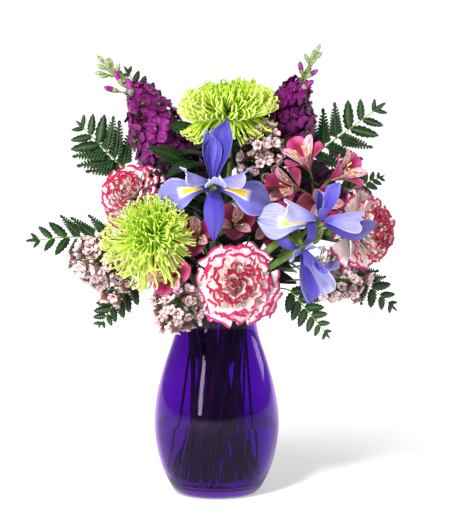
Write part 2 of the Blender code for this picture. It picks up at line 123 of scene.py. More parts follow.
def sheet(name, finish, stations, columns, cup, ruffle=0.0, crumple=0.0, teeth=0.0, seed=1, smooth=1,
          thick=0.4):
    # a petal or leaf: stations are (out, up, half width) from its foot along +Y, across is X
    rows = len(stations) - 1
    clearPicks()
    bpy.ops.mesh.primitive_grid_add(x_subdivisions=columns, y_subdivisions=rows, size=2, location=(0, 0, 0))
    piece = bpy.context.object
    piece.name = name
    first = [corner.co.copy() for corner in piece.data.vertices]  # each corner's place in the flat grid

    def columnOf(corner):
        return round((first[corner.index].x + 1) * columns / 2)

    bpy.ops.object.mode_set(mode="EDIT")
    for column in range(columns + 1):
        across = 2 * column / columns - 1
        if cup and abs(across) > 0.01:
            pickCorners(piece, lambda c: abs(first[c.index].x - across) < 0.01)
            bpy.ops.transform.translate(value=(0, 0, cup * across * across))
    for row, (out, up, half) in enumerate(stations):
        along = 2 * row / rows - 1
        before, after = stations[max(row - 1, 0)], stations[min(row + 1, rows)]
        slope = math.atan2(after[1] - before[1], after[0] - before[0])
        middle = (0, along, 0)
        pickCorners(piece, lambda c: abs(first[c.index].y - along) < 0.01)
        bpy.ops.transform.resize(value=(half * mm, 1, half * mm), center_override=middle)
        bpy.ops.transform.rotate(value=-slope, orient_axis="X", center_override=middle)
        bpy.ops.transform.translate(value=(0, out * mm - along, up * mm))
        share = max(0.0, (row / rows - 0.35) / 0.65)  # the ruffle grows over the outer part
        if ruffle and share:
            for sign, rest in ((1, 1), (-1, 3)):
                pickCorners(piece, lambda c: abs(first[c.index].y - along) < 0.01 and columnOf(c) % 4 == rest)
                lift = sign * ruffle * mm * share
                bpy.ops.transform.translate(value=(0, -math.sin(slope) * lift, math.cos(slope) * lift))
    if teeth:
        pickCorners(piece, lambda c: first[c.index].y > 0.99 and columnOf(c) % 2)
        slope = math.atan2(stations[-1][1] - stations[-2][1], stations[-1][0] - stations[-2][0])
        bpy.ops.transform.translate(value=(0, -teeth * mm * math.cos(slope), -teeth * mm * math.sin(slope)))
    if crumple:
        pickCorners(piece, lambda c: first[c.index].y > -0.2)
        bpy.ops.transform.vertex_random(offset=crumple * mm, seed=seed)
    bpy.ops.object.mode_set(mode="OBJECT")
    if smooth:
        applyModifier(piece, "SUBSURF", levels=smooth, render_levels=smooth)
    applyModifier(piece, "SOLIDIFY", thickness=thick * mm, offset=0)
    bpy.ops.object.shade_smooth()
    piece.data.materials.append(finish)
    patterns.append(piece)
    return piece


def quill(name, finish, stations, sides):
    # a round bar drawn out from a disc: stations are (out, up, radius), out along +Y
    clearPicks()
    bpy.ops.mesh.primitive_circle_add(vertices=sides, radius=stations[0][2] * mm, fill_type="NGON",
                                      location=(0, stations[0][0] * mm, stations[0][1] * mm))
    piece = bpy.context.object
    piece.name = name
    bpy.ops.object.mode_set(mode="EDIT")
    bpy.ops.mesh.select_all(action="SELECT")
    lean = 0.0
    for row, (out, up, radius) in enumerate(stations):
        before, after = stations[max(row - 1, 0)], stations[min(row + 1, len(stations) - 1)]
        if row:
            step = (0, (out - stations[row - 1][0]) * mm, (up - stations[row - 1][1]) * mm)
            bpy.ops.mesh.extrude_region_move(TRANSFORM_OT_translate={"value": step})
            size = radius / stations[row - 1][2]
            bpy.ops.transform.resize(value=(size, size, size), center_override=(0, out * mm, up * mm))
        turn = math.atan2(after[0] - before[0], after[1] - before[1])
        bpy.ops.transform.rotate(value=turn - lean, orient_axis="X", center_override=(0, out * mm, up * mm))
        lean = turn
    bpy.ops.mesh.select_all(action="SELECT")
    bpy.ops.mesh.normals_make_consistent(inside=False)
    bpy.ops.object.mode_set(mode="OBJECT")
    bpy.ops.object.shade_smooth()
    piece.data.transform(piece.matrix_world)
    piece.matrix_world = Matrix.Identity(4)
    piece.data.materials.append(finish)
    patterns.append(piece)
    return piece


def stalk(name, finish, route, radius, tip=1.0, sides=2):
    # a bar along a smooth curve through the route's points
    clearPicks()
    bpy.ops.curve.primitive_bezier_curve_add(location=(0, 0, 0))
    piece = bpy.context.object
    line = piece.data.splines[0]
    line.bezier_points.add(len(route) - 2)
    for number, (knot, point) in enumerate(zip(line.bezier_points, route)):
        knot.co = Vector(point) * mm
        knot.handle_left_type = knot.handle_right_type = "AUTO"
        knot.radius = 1 + (tip - 1) * number / (len(route) - 1)
    piece.data.resolution_u = 3
    piece.data.bevel_depth = radius * mm
    piece.data.bevel_resolution = sides
    piece.data.use_fill_caps = True
    bpy.ops.object.convert(target="MESH")
    piece = bpy.context.object
    piece.name = name
    bpy.ops.object.shade_smooth()
    piece.data.materials.clear()
    piece.data.materials.append(finish)
    toned = piece.data.attributes.new("tone", "FLOAT", "POINT")
    toned.data.foreach_set("value", [0.5] * len(piece.data.vertices))
    return piece


# finishes

def tint(*levels):  # a screen colour's red, green and blue, as the shader's linear colour
    shares = [level / 255 for level in levels]
    return tuple(((c + 0.055) / 1.055) ** 2.4 if c > 10 / 255 else c / 12.92 for c in shares) + (1,)


class Finish:
    # a material built up in layers, from its ground colour to its bump
    def __init__(self, name, roughness, sheen=0.0):
        self.made = bpy.data.materials.new(name)
        self.made.use_nodes = True
        self.tree = self.made.node_tree
        self.shader = self.tree.nodes["Principled BSDF"]
        self.shader.inputs["Roughness"].default_value = roughness
        self.shader.inputs["Sheen Weight"].default_value = sheen
        self.colour = None

    def node(self, kind, links=(), **values):
        added = self.tree.nodes.new("ShaderNode" + kind)
        for key, value in values.items():
            if hasattr(added, key):
                setattr(added, key, value)
            else:
                added.inputs[key.replace("_", " ")].default_value = value
        for socket, source in dict(links).items():
            self.tree.links.new(source, added.inputs[socket])
        return added

    def sum(self, operation, first, second):
        added = self.node("Math", operation=operation)
        for number, value in enumerate((first, second)):
            if isinstance(value, (int, float)):
                added.inputs[number].default_value = value
            else:
                self.tree.links.new(value, added.inputs[number])
        return added.outputs[0]

    def along(self):  # 0 at the petal's foot, 1 at its tip
        return self.node("SeparateXYZ", {"Vector": self.node("UVMap").outputs[0]}).outputs["Y"]

    def aside(self):  # 0 on the petal's middle line, 1 on its edges
        across = self.node("SeparateXYZ", {"Vector": self.node("UVMap").outputs[0]}).outputs["X"]
        return self.sum("MULTIPLY", self.sum("ABSOLUTE", self.sum("SUBTRACT", across, 0.5), 0), 2)

    def tone(self):
        return self.node("Attribute", attribute_name="tone").outputs["Fac"]

    def ramp(self, value, stops):
        added = self.node("ValToRGB", {"Fac": value})
        band = added.color_ramp
        while len(band.elements) < len(stops):
            band.elements.new(0.5)
        for element, (place, colour) in zip(band.elements, stops):
            element.position = place
            element.color = colour if not isinstance(colour, (int, float)) else (colour,) * 3 + (1,)
        return added.outputs["Color"]

    def grain(self, scale, stretch=(1, 1, 1), detail=3, fromUv=False):
        place = self.node("UVMap").outputs[0] if fromUv else self.node("TexCoord").outputs["Object"]
        drawn = self.node("Mapping", {"Vector": place})
        drawn.inputs["Scale"].default_value = stretch
        cloud = self.node("TexNoise", {"Vector": drawn.outputs[0]}, Scale=scale, Detail=detail)
        return cloud.outputs["Fac"]

    def cover(self, colour, amount):  # lays a colour over what is there
        added = self.node("Mix", data_type="RGBA")
        for socket, value in ((0, amount), (6, self.colour), (7, colour)):
            if isinstance(value, (int, float, tuple)):
                added.inputs[socket].default_value = value
            else:
                self.tree.links.new(value, added.inputs[socket])
        self.colour = added.outputs[2]

    def done(self, bumpFrom, strength=0.3, reach=0.4):
        self.tree.links.new(self.colour, self.shader.inputs["Base Color"])
        raised = self.node("Bump", {"Height": bumpFrom}, Strength=strength, Distance=reach * mm)
        self.tree.links.new(raised.outputs[0], self.shader.inputs["Normal"])
        return self.made


def veined(finish, colour, share, count=26):
    # fine lines that run from foot to tip
    lines = finish.ramp(finish.grain(1, (count, 1.6, 1), 2, True), ((0.45, 0.0), (0.7, share)))
    finish.cover(colour, lines)
    return lines


def stemFinish():
    finish = Finish("stalkGreen", 0.45)
    drawn = finish.grain(90, (1, 1, 0.25))
    finish.colour = finish.ramp(drawn, ((0.3, tint(70, 98, 34)), (0.7, tint(132, 158, 72))))
    return finish.done(finish.grain(900, (1, 1, 0.1)), 0.3)


def irisFinish(name, pale, deep, tip, signal=True):
    finish = Finish(name, 0.5, sheen=0.08)
    # painted shade: the deep colour at each petal's foot darkens the hub where the petals meet
    finish.colour = finish.ramp(finish.along(), ((0.0, deep), (0.38, pale), (1.0, tip)))
    # painted shade: the tone lays the deep colour over chosen whole petals
    finish.cover(deep, finish.sum("MULTIPLY", finish.tone(), 0.85))
    finish.cover(tip, finish.ramp(finish.aside(), ((0.8, 0.0), (1.0, 0.55))))
    lines = veined(finish, deep, 0.6)
    if signal:
        along, aside = finish.along(), finish.aside()
        stretch = finish.ramp(along, ((0.1, 0.0), (0.2, 1.0), (0.46, 1.0), (0.56, 0.0)))
        white = finish.ramp(aside, ((0.3, 0.9), (0.4, 0.0)))
        finish.cover(tint(238, 236, 250), finish.sum("MULTIPLY", white, stretch))
        drawnIn = finish.sum("ADD", aside, finish.sum("MULTIPLY", along, 0.12))
        core = finish.ramp(drawnIn, ((0.26, 1.0), (0.36, 0.0)))
        yellow = finish.ramp(along, ((0.12, 0.0), (0.18, 1.0), (0.44, 1.0), (0.54, 0.0)))
        finish.cover(tint(250, 200, 20), finish.sum("MULTIPLY", core, yellow))
    return finish.done(lines, 0.35)


def carnationFinish():
    finish = Finish("carnationPicotee", 0.6, sheen=0.1)
    along, tone = finish.along(), finish.tone()
    finish.colour = finish.ramp(along, (
        (0.0, tint(204, 196, 160)), (0.2, tint(240, 226, 214)), (1.0, tint(255, 248, 246))))
    streak = finish.ramp(finish.grain(1, (22, 2, 1), 2, True), ((0.42, 0.0), (0.75, 1.0)))
    flush = finish.ramp(along, ((0.5, 0.0), (1.0, 0.85)))
    finish.cover(tint(196, 24, 84), finish.sum("MULTIPLY", streak, flush))
    shifted = finish.sum("ADD", along, finish.sum("MULTIPLY", tone, 0.05))
    shifted = finish.sum("ADD", shifted, finish.sum("MULTIPLY", streak, 0.03))
    edge = finish.ramp(shifted, ((0.885, 0.0), (0.945, 1.0)))
    margin = finish.ramp(tone, ((0.0, tint(186, 12, 108)), (0.5, tint(172, 4, 62)), (1.0, tint(150, 2, 40))))
    finish.cover(margin, edge)
    return finish.done(streak, 0.3)


def mumFinish():
    finish = Finish("mumLime", 0.45, sheen=0.1)
    finish.colour = finish.ramp(finish.tone(), (
        (0.0, tint(84, 136, 8)), (0.3, tint(150, 194, 26)),
        (0.7, tint(188, 216, 56)), (1.0, tint(214, 228, 110))))
    finish.cover(tint(130, 180, 30), finish.ramp(finish.grain(160), ((0.5, 0.0), (0.75, 0.5))))
    return finish.done(finish.grain(1500), 0.25)


def stockFinish():
    finish = Finish("stockMagenta", 0.5, sheen=0.06)
    # along each petal: painted shade at the foot, deep magenta in the middle and a painted highlight at the
    # tip
    finish.colour = finish.ramp(finish.along(), (
        (0.0, tint(38, 0, 28)), (0.35, tint(96, 0, 80)),
        (0.8, tint(132, 4, 118)), (1.0, tint(172, 40, 156))))
    # the tone darkens whole petals: partly a random depth of colour per floret, partly painted shade in the
    # hearts of the florets and on the extra florets set into the gaps
    finish.cover(tint(58, 0, 38), finish.sum("MULTIPLY", finish.tone(), 0.9))
    lines = veined(finish, tint(70, 0, 52), 0.6, 18)
    return finish.done(lines, 0.4)


def lilyFinish(name, inner):
    finish = Finish(name, 0.4, sheen=0.15)
    along, aside = finish.along(), finish.aside()
    if inner:
        finish.colour = finish.ramp(along, (
            (0.0, tint(214, 150, 140)), (0.4, tint(248, 214, 206)),
            (0.7, tint(250, 206, 214)), (1.0, tint(224, 120, 160))))
        dash = finish.ramp(finish.grain(1, (20, 5, 1), 1, True), ((0.53, 0.0), (0.58, 1.0)))
        reach = finish.ramp(along, ((0.25, 0.0), (0.4, 1.0), (0.75, 1.0), (0.88, 0.0)))
        finish.cover(tint(120, 8, 30), finish.sum("MULTIPLY", dash, reach))
    else:
        finish.colour = finish.ramp(along, (
            (0.0, tint(116, 8, 48)), (0.4, tint(172, 24, 96)),
            (0.8, tint(206, 76, 148)), (1.0, tint(166, 18, 90))))
        reach = finish.ramp(along, ((0.3, 0.0), (0.6, 1.0), (0.85, 0.6), (0.97, 0.0)))
        middle = finish.ramp(aside, ((0.15, 1.0), (0.75, 0.0)))
        finish.cover(tint(124, 0, 36), finish.sum("MULTIPLY", reach, middle))
    finish.cover(tint(104, 4, 34), finish.sum("MULTIPLY", finish.tone(), 0.75))
    lines = veined(finish, tint(170, 24, 80), 0.4, 20)
    return finish.done(lines, 0.35)


def waxFinish(name, ground, dark):
    finish = Finish(name, 0.4)
    finish.colour = finish.ramp(finish.grain(700), ((0.3, dark), (0.6, ground)))
    finish.cover(dark, finish.sum("MULTIPLY", finish.tone(), 0.35))
    return finish.done(finish.grain(2500), 0.3)


def leafFinish(name, ground, light, rib):
    finish = Finish(name, 0.34)
    finish.shader.inputs["Coat Weight"].default_value = 0.2
    finish.shader.inputs["Coat Roughness"].default_value = 0.3
    finish.colour = finish.ramp(finish.grain(120), ((0.3, ground), (0.75, light)))
    finish.cover(light, finish.sum("MULTIPLY", finish.tone(), 0.7))
    finish.cover(rib, finish.ramp(finish.aside(), ((0.06, 0.7), (0.16, 0.0))))
    side = finish.ramp(finish.grain(1, (3, 26, 1), 2, True), ((0.45, 0.0), (0.6, 1.0)))
    finish.cover(ground, finish.sum("MULTIPLY", side, 0.5))
    return finish.done(side, 0.4)


def plainFinish(name, ground, other, scale):
    finish = Finish(name, 0.45)
    finish.colour = finish.ramp(finish.grain(scale), ((0.35, ground), (0.65, other)))
    return finish.done(finish.grain(scale * 8))


greenStem = stemFinish()
print("finishes ready")


# the routes of the stalks: out of the water, through the neck in a spiral, and on to the flower

bundle = {"neckHeight": 176, "ringRadius": (6, 14.5, 22.5, 30), "ringFoot": (12, 13, 17, 22),
          "twist": 0.007, "parts": 9, "pull": 0.38}


def stalkRoute(place, facing, ring, angle):
    turn = math.radians(angle)
    outward = Vector((math.cos(turn), math.sin(turn), 0))
    sideways = Vector((-math.sin(turn), math.cos(turn), 0))
    radius = bundle["ringRadius"][ring]
    waist = outward * radius + Vector((0, 0, bundle["neckHeight"]))
    rise = sideways * bundle["twist"] * radius + Vector((0, 0, 1))
    foot = waist - rise * (bundle["neckHeight"] - bundle["ringFoot"][ring])
    end = Vector(place)
    pull = bundle["pull"] * (end - waist).length
    return [foot] + bend(waist, waist + rise.normalized() * pull,
                         end - Vector(facing).normalized() * pull, end, bundle["parts"])


def bend(start, startPull, endPull, end, parts):
    shares = [number / parts for number in range(parts + 1)]
    return [start * (1 - t) ** 3 + startPull * 3 * t * (1 - t) ** 2
            + endPull * 3 * t ** 2 * (1 - t) + end * t ** 3 for t in shares]


def routeUnder(spec, below):  # to a flower's own place, ending that far below it
    axis = Vector(spec["facing"]).normalized()
    return stalkRoute(Vector(spec["place"]) - axis * below, spec["facing"], spec["ring"], spec["angle"])


# vase: blown glass, spun up from its foot, with its inner wall and thick floor

vase = {"outer": ((39, 0), (44.5, 3), (52, 17), (58, 33), (62.5, 55), (63.5, 74), (61.5, 95), (56.5, 117),
                  (49.5, 139), (42.5, 158), (39.5, 174), (42, 187), (48.5, 197), (53.6, 203)),
        "lip": ((53.6, 204.6), (51.6, 205), (50.4, 203.6)),
        "well": ((44, 3), (36, 0), (18, -0.6)),  # heights over the floor
        "wall": 3.0, "floor": 8.0, "sides": 64, "refraction": 1.24}


def makeVase():
    finish = Finish("violetGlass", 0.015)
    glass = finish.shader.inputs
    glass["Transmission Weight"].default_value = 1.0
    glass["IOR"].default_value = vase["refraction"]
    height = finish.node("SeparateXYZ", {"Vector": finish.node("TexCoord").outputs["Object"]}).outputs["Z"]
    finish.colour = finish.ramp(finish.sum("DIVIDE", height, 0.204), (
        (0.0, (0.08, 0.01, 0.26, 1)), (0.12, (0.25, 0.04, 0.48, 1)),
        (0.55, (0.24, 0.04, 0.5, 1)), (1.0, (0.13, 0.02, 0.36, 1))))
    clouds = finish.ramp(finish.grain(14, (1, 1, 0.3), 1), ((0.4, 0.0), (0.7, 0.6)))
    finish.cover((0.14, 0.035, 0.45, 1), clouds)
    made = finish.done(finish.grain(22, (1, 1, 0.4), 1), 0.06, 1.0)
    clearPicks()
    footRadius = vase["outer"][0][0] * mm
    bpy.ops.mesh.primitive_circle_add(vertices=vase["sides"], radius=footRadius, fill_type="NGON",
                                      location=(0, 0, 0))
    piece = bpy.context.object
    bpy.ops.object.mode_set(mode="EDIT")
    bpy.ops.mesh.select_all(action="SELECT")
    bpy.ops.mesh.inset(thickness=6 * mm)
    bpy.ops.transform.translate(value=(0, 0, 1.2 * mm))
    bpy.ops.mesh.inset(thickness=12 * mm)
    bpy.ops.mesh.select_all(action="DESELECT")
    shape = bmesh.from_edit_mesh(piece.data)
    for edge in shape.edges:
        edge.select_set(all(abs(c.co.to_2d().length - footRadius) < 1e-5 for c in edge.verts))
    shape.select_flush(True)
    inner = [(radius - vase["wall"], height) for radius, height in vase["outer"][1:]]
    inner = [(r, h) for r, h in inner if h > vase["floor"] + 4]
    wall = list(vase["outer"][1:]) + list(vase["lip"]) + inner[::-1][1:]
    wall += [(radius, vase["floor"] + rise) for radius, rise in vase["well"]]
    radius, height = vase["outer"][0]
    for newRadius, newHeight in wall:
        bpy.ops.mesh.extrude_edges_move(TRANSFORM_OT_translate={"value": (0, 0, (newHeight - height) * mm)})
        size = newRadius / radius
        bpy.ops.transform.resize(value=(size, size, 1), center_override=(0, 0, newHeight * mm))
        radius, height = newRadius, newHeight
    bpy.ops.mesh.edge_face_add()
    bpy.ops.mesh.select_all(action="SELECT")
    bpy.ops.mesh.normals_make_consistent(inside=False)
    bpy.ops.object.mode_set(mode="OBJECT")
    applyModifier(piece, "SUBSURF", levels=2, render_levels=2)
    bpy.ops.object.shade_smooth()
    piece.data.materials.append(made)
    settle(joinAs("vaseGlass", [piece]), "violet_glass", "vase")
    liquid = Finish("vaseWater", 0.02)
    liquid.shader.inputs["Transmission Weight"].default_value = 1.0
    liquid.shader.inputs["IOR"].default_value = 1.12
    liquid.colour = liquid.ramp(liquid.grain(20), (
        (0.3, (0.9, 0.78, 0.97, 1)), (0.7, (0.98, 0.86, 1.0, 1))))
    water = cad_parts["water"]
    water.data.materials.clear()
    water.data.materials.append(liquid.done(liquid.grain(30), 0.05))


makeVase()
print("vase done")


# irises: three falls, three standards and three style arms on each

iris = {
    "fall": ((4.6, 0, 2.0), (12, 6.5, 3.4), (20, 11, 4.8), (27, 14, 7.5), (33, 14.4, 12), (39, 12, 15.8),
             (44.5, 7, 17.8), (49, 0.5, 17), (52.5, -6.5, 13.8), (55.5, -13, 8.8), (57, -18, 1.8)),
    "narrow": ((4.6, 0, 2.2), (12, 6, 4), (20, 9.5, 6), (28, 10, 8.4), (35, 7, 10.4), (41, 2, 11),
               (46, -5, 10), (50, -12, 7.6), (53, -19, 4.6), (55, -25, 1.0)),
    "standard": ((4.2, 0, 1.4), (6, 7, 2.2), (8.6, 15, 3.4), (11.4, 23, 5.4), (14, 31, 7.6), (16, 39, 9),
                 (17.8, 47, 9.4), (19, 54, 8.4), (19.8, 60, 5.8), (20, 65.5, 1.2)),
    "style": ((2.8, 0, 1.6), (9, 6.8, 3), (15, 11.2, 4.8), (20, 14.8, 6.4), (24, 17.6, 7),
              (27.4, 21.6, 7.6), (29.8, 26, 7.2), (31.4, 30.5, 4.6)),
    "sheath": ((0.5, 0, 3), (4.5, 8, 4.5), (5.5, 18, 4.5), (6, 28, 3.4), (6.5, 36, 0.6)),
    "lift": 3.4, "stem": 3.6,
    "flowers": {
        # falls: turn, size, depth of painted shade, twist, kind; standards: turn, size, depth of painted
        # shade, width
        "iris_left": dict(place=(-3, -64, 314), facing=(0.05, -0.56, 0.83), ring=2, angle=250,
                          falls=((198, 0.95, 0.6, -40, "fall"), (268, 0.95, 0.6, 0, "narrow"),
                                 (334, 0.98, 0.8, 38, "fall")),
                          standards=((122, 0.84, 0.0, 1.1), (94, 0.72, 0.5, 1.2), (56, 1.0, 0.75, 1.3))),
        "iris_right": dict(place=(100, -80, 281), facing=(0.1, -0.72, 0.68), ring=2, angle=300,
                           falls=((176, 1.02, 0.0, -42, "fall"), (345, 1.0, 0.9, 60, "narrow"),
                                  (80, 0.5, 0.7, 0, "narrow")),
                           standards=((32, 0.75, 0.0, 1.2), (128, 0.55, 0.9, 1.0), (260, 0.48, 0.6, 1.0))),
        "iris_low": dict(place=(83, -84, 258), facing=(0.26, -0.8, -0.54), ring=3, angle=288,
                         falls=((316, 0.92, 0.6, 20, "fall"), (70, 0.5, 0.8, 0, "narrow"),
                                (165, 0.5, 0.8, 0, "narrow")),
                         standards=((238, 0.92, 0.5, 1.5), (15, 0.6, 0.2, 1.0), (118, 0.55, 0.6, 1.0))),
    },
}


def makeIrises():
    fallBlue = irisFinish("irisFall", tint(152, 152, 222), tint(62, 44, 150), tint(178, 180, 234))
    fall = sheet("fall", fallBlue, iris["fall"], 8, -0.14, 1.4, crumple=0.8, seed=3, smooth=2)
    backBlue = irisFinish("irisFallBack", tint(84, 68, 176), tint(46, 34, 130), tint(72, 56, 164), False)
    narrow = sheet("narrow", backBlue, iris["narrow"], 8, -0.3, 1.2, crumple=0.9, seed=4, smooth=2)
    violet = irisFinish("irisStandard", tint(84, 74, 184), tint(44, 32, 128), tint(122, 116, 210), False)
    standard = sheet("standard", violet, iris["standard"], 8, 0.8, 2.2, crumple=1.5, seed=5, smooth=2)
    pale = irisFinish("irisStyle", tint(182, 182, 234), tint(84, 70, 180), tint(226, 226, 250), False)
    style = sheet("style", pale, iris["style"], 8, -0.6, 1.2, crumple=0.4, seed=8, smooth=2, thick=0.7)
    petals = {"fall": fall, "narrow": narrow, "standard": standard, "style": style}
    sheath = sheet("sheath", greenStem, iris["sheath"], 4, 0.7)
    for name, spec in iris["flowers"].items():
        axis = Vector(spec["facing"]).normalized()

        def whorl(part, slotName, lift, grown):
            base = standAt(Vector(spec["place"]) + axis * lift, spec["facing"])
            parts = []
            for turn, size, tone, twist, kind, wide in grown:
                spot = base @ spin(turn - 90) @ spin(twist, "Y") @ sized(size * wide, size, size)
                parts.append(lay(petals[kind], spot, tone))
            settle(joinAs(name + "." + part, parts), slotName, name + "_" + part)

        falls = [(*petal, 1) for petal in spec["falls"]]
        standards = [(turn, size, tone, 0, "standard", wide) for turn, size, tone, wide in spec["standards"]]
        styles = [(turn, size * 1.15, tone * 0.75, twist * 0.5, "style", 1.25)
                  for turn, size, tone, twist, kind in spec["falls"]]
        whorl("falls", "iris_blue", 0, falls)
        whorl("standards", "iris_violet", iris["lift"], standards)
        whorl("styles", "iris_violet", 2 * iris["lift"], styles)
        parts = [stalk("stem", greenStem, routeUnder(spec, 1.2), iris["stem"])]
        base = standAt(Vector(spec["place"]) - axis * 34, spec["facing"])
        parts += [lay(sheath, base @ spin(turn), 0.4) for turn in (20, 200)]
        settleStem(name, parts)


makeIrises()
print("irises done")


# carnations: ruffled, toothed petals in rings over a green calyx

carnation = {
    "outer": ((1, 0, 1.2), (8, 6, 2.2), (18, 12, 6), (28, 15.5, 11), (36, 16, 14), (42, 13.5, 15)),
    "middle": ((1, 0, 1.2), (6, 9, 2.5), (13, 19, 6.5), (19, 27, 10.5), (25, 33, 12.5), (30, 36, 13)),
    "inner": ((0.6, 0, 1), (3, 12, 3), (6, 24, 6.5), (8, 34, 9.5), (10.5, 41, 10.5), (12.5, 45, 10.5)),
    # pattern, petals in the ring, tilt, size, depth of colour
    "rings": (("outer", 9, -6, 1.0, 0.0), ("outer", 8, 8, 0.97, 0.1), ("outer", 8, 20, 0.92, 0.25),
              ("middle", 9, -4, 1.0, 0.35), ("middle", 8, 8, 0.98, 0.5), ("middle", 7, 20, 0.95, 0.6),
              ("inner", 7, -10, 0.97, 0.8), ("inner", 6, 2, 0.97, 0.9), ("inner", 5, 14, 0.95, 1.0),
              ("inner", 3, 24, 0.9, 1.0)),
    "calyx": ((0, -27, 3.2), (0, -18, 6.5), (0, -8, 7.6), (0, -2, 8.4), (0, 1.5, 7.4)),
    "stem": 2.4,
    "flowers": {
        "carnation_left": dict(place=(-78, 0, 295), facing=(-0.5, -0.68, 0.5), ring=1, angle=150, size=0.84),
        "carnation_center": dict(place=(20, -66, 217), facing=(0.05, -0.94, 0.22), ring=3, angle=268,
                                 size=1.0),
        "carnation_right": dict(place=(131, -8, 265), facing=(0.84, -0.52, 0.1), ring=2, angle=345, size=1.0),
        "carnation_back": dict(place=(-30, 70, 276), facing=(-0.25, 0.86, 0.4), ring=1, angle=70, size=0.88),
    },
}


def makeCarnations():
    finish = carnationFinish()
    petals = {kind: [sheet(kind, finish, carnation[kind], 8, 0.0, 2.8, crumple=2.2, teeth=2.2, seed=seed)
                     for seed in (1, 2, 3, 4)] for kind in ("outer", "middle", "inner")}
    calyx = quill("calyx", greenStem, carnation["calyx"], 12)
    for number, (name, spec) in enumerate(carnation["flowers"].items()):
        chance = random.Random(number + 11)
        base = standAt(spec["place"], spec["facing"]) @ sized(spec["size"])
        parts = []
        for ring, (kind, count, tilt, size, tone) in enumerate(carnation["rings"]):
            for step in range(count):
                turn = 360 * step / count + ring * 23 + chance.uniform(-9, 9)
                lean = tilt + chance.uniform(-8, 8)
                place = base @ spin(turn) @ spin(lean, "X") @ spin(chance.uniform(-14, 14), "Y")
                place = place @ sized(size * chance.uniform(0.94, 1.03))
                petal = chance.choice(petals[kind])
                parts.append(lay(petal, place, min(1, max(0, tone + chance.uniform(-0.2, 0.2)))))
        settle(joinAs(name + ".bloom", parts), "carnation_picotee", name + "_bloom")
        parts = [stalk("stem", greenStem, routeUnder(spec, 24), carnation["stem"])]
        parts.append(lay(calyx, standAt(spec["place"], spec["facing"])))
        settleStem(name, parts)


makeCarnations()
print("carnations done")


# spider chrysanthemums: hundreds of thin quills with hooked tips

mum = {
    "dome": ((0, 0, 0.8), (1.5, 8, 1.0), (3, 16, 1.0), (3.8, 24, 1.0), (3.4, 31, 0.95), (1.4, 36.5, 1.0),
             (-0.8, 38.8, 0.9), (-2.4, 38.6, 0.3)),
    "spray": ((0, 0, 0.8), (1.5, 10, 1.0), (2.6, 20, 1.0), (2.4, 30, 0.95), (0.2, 38, 0.9),
              (-4, 43.5, 1.05), (-7.5, 43.6, 0.9), (-8.2, 41.8, 0.3)),
    "hang": ((0, 0, 0.8), (0, 10, 1.0), (1.6, 20, 1.0), (5, 29, 0.95), (9.5, 36, 0.9), (13, 41, 1.0),
             (12.5, 44.5, 0.9), (10.6, 45, 0.3)),
    "stem": 2.8,
    "heads": {
        "mum_top": dict(place=(12, -12, 385), facing=(-0.08, -0.12, 1), ring=0, angle=240, size=1.0,
                        quills=540, reach=116, width=0.95, height=0.82, trail=(0, -0.4, -1), more=0.1),
        "mum_left": dict(place=(-61, -86, 271), facing=(-0.35, -0.72, 0.6), ring=1, angle=190, size=0.8,
                         quills=400, reach=122, width=1.1, height=0.95, trail=(-0.6, -0.2, -0.8), more=0.42),
    },
}


def makeMums():
    finish = mumFinish()
    quills = {kind: quill(kind, finish, mum[kind], 5) for kind in ("dome", "spray", "hang")}
    for name, spec in mum["heads"].items():
        chance = random.Random(len(name))
        size, trail = spec["size"], Vector(spec["trail"]).normalized()
        base = standAt(spec["place"], spec["facing"]) @ sized(size, size, size * spec["height"])
        parts = []
        for number in range(spec["quills"]):
            share = (number + 0.5) / spec["quills"]
            lean = spec["reach"] * share ** 0.55 + chance.uniform(-6, 6)
            kind = "dome" if lean < 52 else "spray" if lean < 96 else "hang"
            long = (0.9 + 0.22 * min(1, lean / 80)) * chance.uniform(0.86, 1.04)
            heading = (base @ spin(number * goldenTurn)).to_3x3() @ Vector((0, 1, 0))
            if lean > 55:
                long *= 1 + spec["more"] * max(0, heading.normalized().dot(trail))
            wide = spec["width"] * chance.uniform(0.85, 1.15)
            turn = number * goldenTurn + chance.uniform(-4, 4)
            place = base @ spin(turn) @ spin(-lean, "X") @ spin(chance.uniform(-35, 35))
            parts.append(lay(quills[kind], place @ sized(wide, wide ** 0.3 * long, long)))
        head = joinAs(name + ".head", parts)
        middle = Vector(spec["place"]) * mm  # paler towards the tips
        reaches = [(corner.co - middle).length / mm / size for corner in head.data.vertices]
        tones = [min(1, max(0, (reach - 8) / 40)) for reach in reaches]
        head.data.attributes["tone"].data.foreach_set("value", tones)
        settle(head, "mum_lime", name + "_head")
        settleStem(name, [stalk("stem", greenStem, routeUnder(spec, 4), mum["stem"])])


makeMums()
print("chrysanthemums done")


# stocks: a spike of double florets, and closed buds above them

